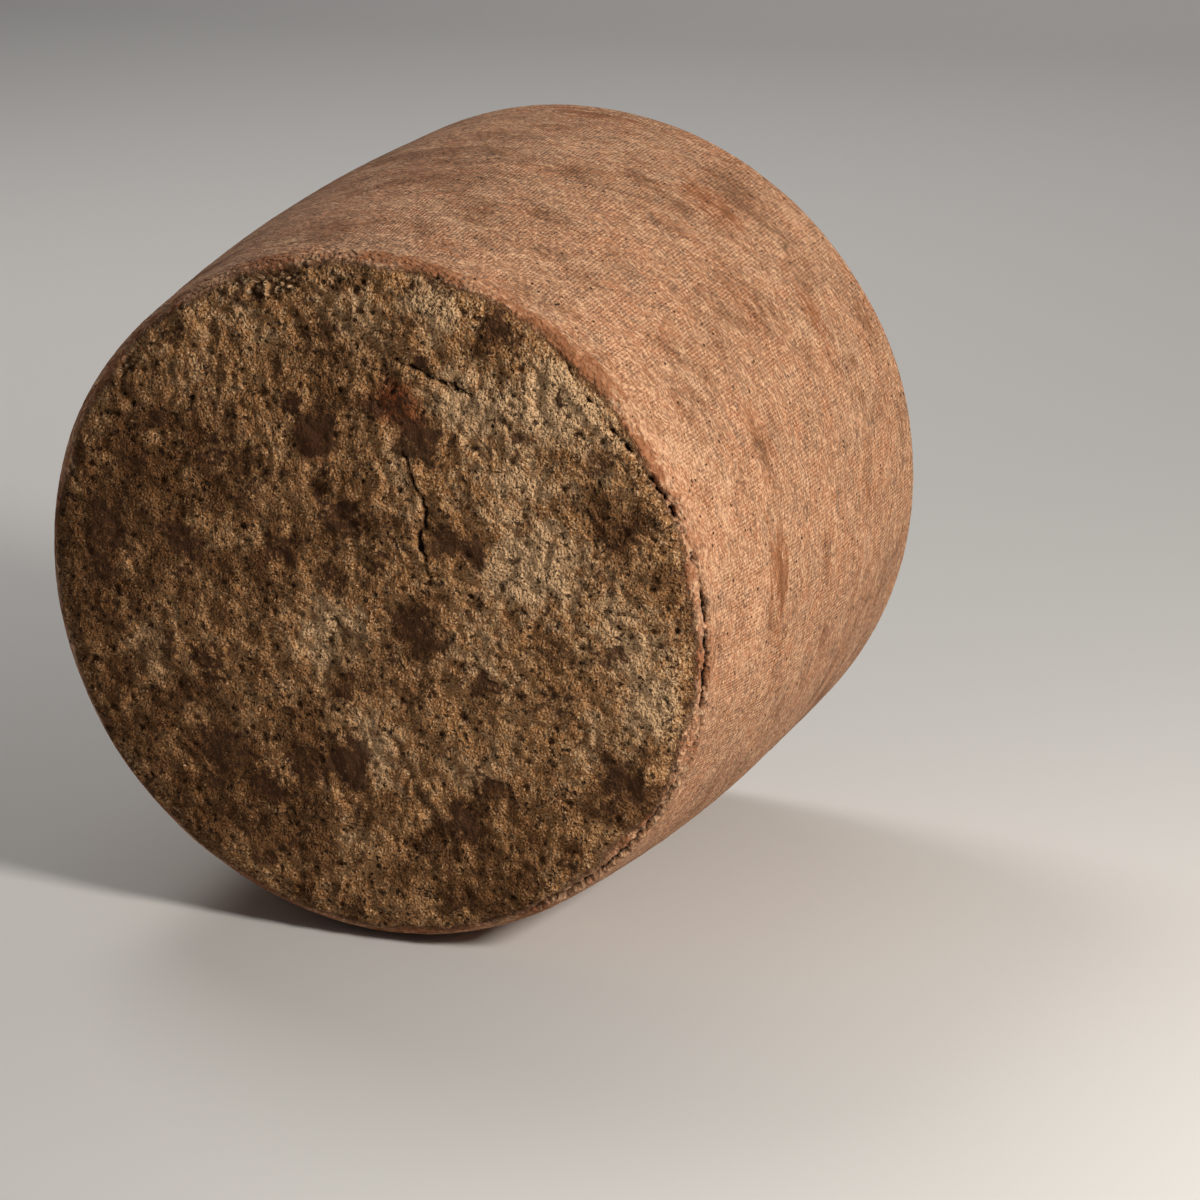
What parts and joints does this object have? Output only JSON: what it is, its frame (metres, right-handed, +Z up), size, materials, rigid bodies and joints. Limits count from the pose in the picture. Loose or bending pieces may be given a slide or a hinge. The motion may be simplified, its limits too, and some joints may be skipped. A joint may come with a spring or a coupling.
{
  "type": "aged cheese wheel",
  "caption": "Large uncut wheel of aged pressed cheese with a cloth-marked natural rind, lying on its side on a small flat spot.",
  "frame": {"origin": "under the middle of the wheel's box, on the surface that it lies on, inside the small flat spot on its side", "axes": "+Z up; the wheel's axis runs along Y, with the bare front end face towards -Y, and rises 3.6 degrees towards the back because the tapered drum leans forward as it lies; X runs across the wheel"},
  "size_m": [0.4, 0.3324, 0.4018],
  "materials": {
    "rind": "dry natural cheese rind: cloth-marked salmon-tan side, rough grey-brown ends with dark mould stains"
  },
  "bodies": {
    "root": {"cheese_wheel": "rind"}
  },
  "joints": []
}
